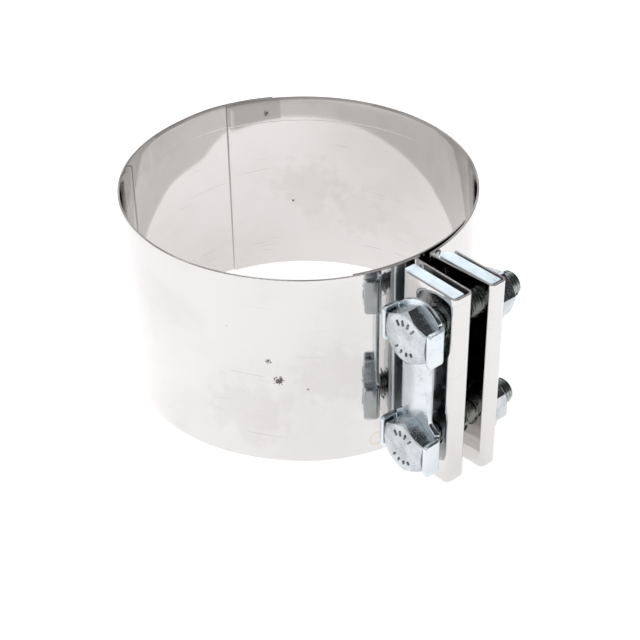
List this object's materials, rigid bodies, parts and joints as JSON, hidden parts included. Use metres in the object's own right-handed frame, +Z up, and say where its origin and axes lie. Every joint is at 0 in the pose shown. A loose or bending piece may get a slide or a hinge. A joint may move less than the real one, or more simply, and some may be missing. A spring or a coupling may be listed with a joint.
{
  "type": "pipe repair clamp",
  "caption": "Wide stainless band clamp in two lapped strips, its folded ears closed over flat bars by hex bolts in a retainer plate with bent tabs.",
  "frame": {"origin": "on the axis of the pipe bore, at the band's lower rim", "axes": "+Z up along the pipe, +X out along the ears, +Y along the bolts from heads to nuts"},
  "size_m": [0.1658, 0.1346, 0.08],
  "materials": {
    "stainless_band": "bright rolled stainless sheet, lightly scratched",
    "zinc_plate": "bright blue-tinted zinc plating"
  },
  "bodies": {
    "near_half": {"band_near_half": "stainless_band", "clamp_bar_near": "zinc_plate"},
    "bridge": {"bridge_plate": "stainless_band"},
    "far_half": {"band_far_half": "stainless_band", "clamp_bar_far": "zinc_plate"},
    "bolts": {"bolt_upper": "zinc_plate", "bolt_lower": "zinc_plate", "bolt_retainer": "zinc_plate"},
    "washers": {"washer_upper": "zinc_plate", "washer_lower": "zinc_plate"},
    "nut_upper": {"nut_upper": "zinc_plate"},
    "nut_lower": {"nut_lower": "zinc_plate"}
  },
  "joints": [
    {"name": "washers_slide", "type": "slide", "parent": "bolts", "child": "washers", "axis": [0, -1, 0], "range_m": [0, 0.00846]},
    {"name": "nut_upper_turn", "type": "hinge", "parent": "washers", "child": "nut_upper", "pos_m": [0.0845, 0.01342, 0.064], "axis": [0, -1, 0], "range_deg": [0, 2029.56]},
    {"name": "nut_lower_turn", "type": "hinge", "parent": "washers", "child": "nut_lower", "pos_m": [0.0845, 0.01342, 0.016], "axis": [0, -1, 0], "range_deg": [0, 2029.56]},
    {"name": "bolts_slide", "type": "slide", "parent": "near_half", "child": "bolts", "axis": [0, 1, 0], "range_m": [0, 0.00335]},
    {"name": "clamp_close", "type": "hinge", "parent": "near_half", "child": "far_half", "pos_m": [-0.06455, 0.01598, 0], "axis": [0, 0, -1], "range_deg": [0, 1.83]},
    {"name": "bridge_flex", "type": "hinge", "parent": "near_half", "child": "bridge", "pos_m": [0.06135, -0.02668, 0], "axis": [0, 0, 1], "range_deg": [0, 1.66]}
  ],
  "couplings": [
    {"joint": "nut_upper_turn", "follows": "washers_slide", "rad_per_m": 4188.8},
    {"joint": "nut_lower_turn", "follows": "washers_slide", "rad_per_m": 4188.8},
    {"joint": "bolts_slide", "follows": "washers_slide", "ratio": 0.39615},
    {"joint": "clamp_close", "follows": "washers_slide", "rad_per_m": 3.777},
    {"joint": "bridge_flex", "follows": "washers_slide", "rad_per_m": 3.4261}
  ]
}
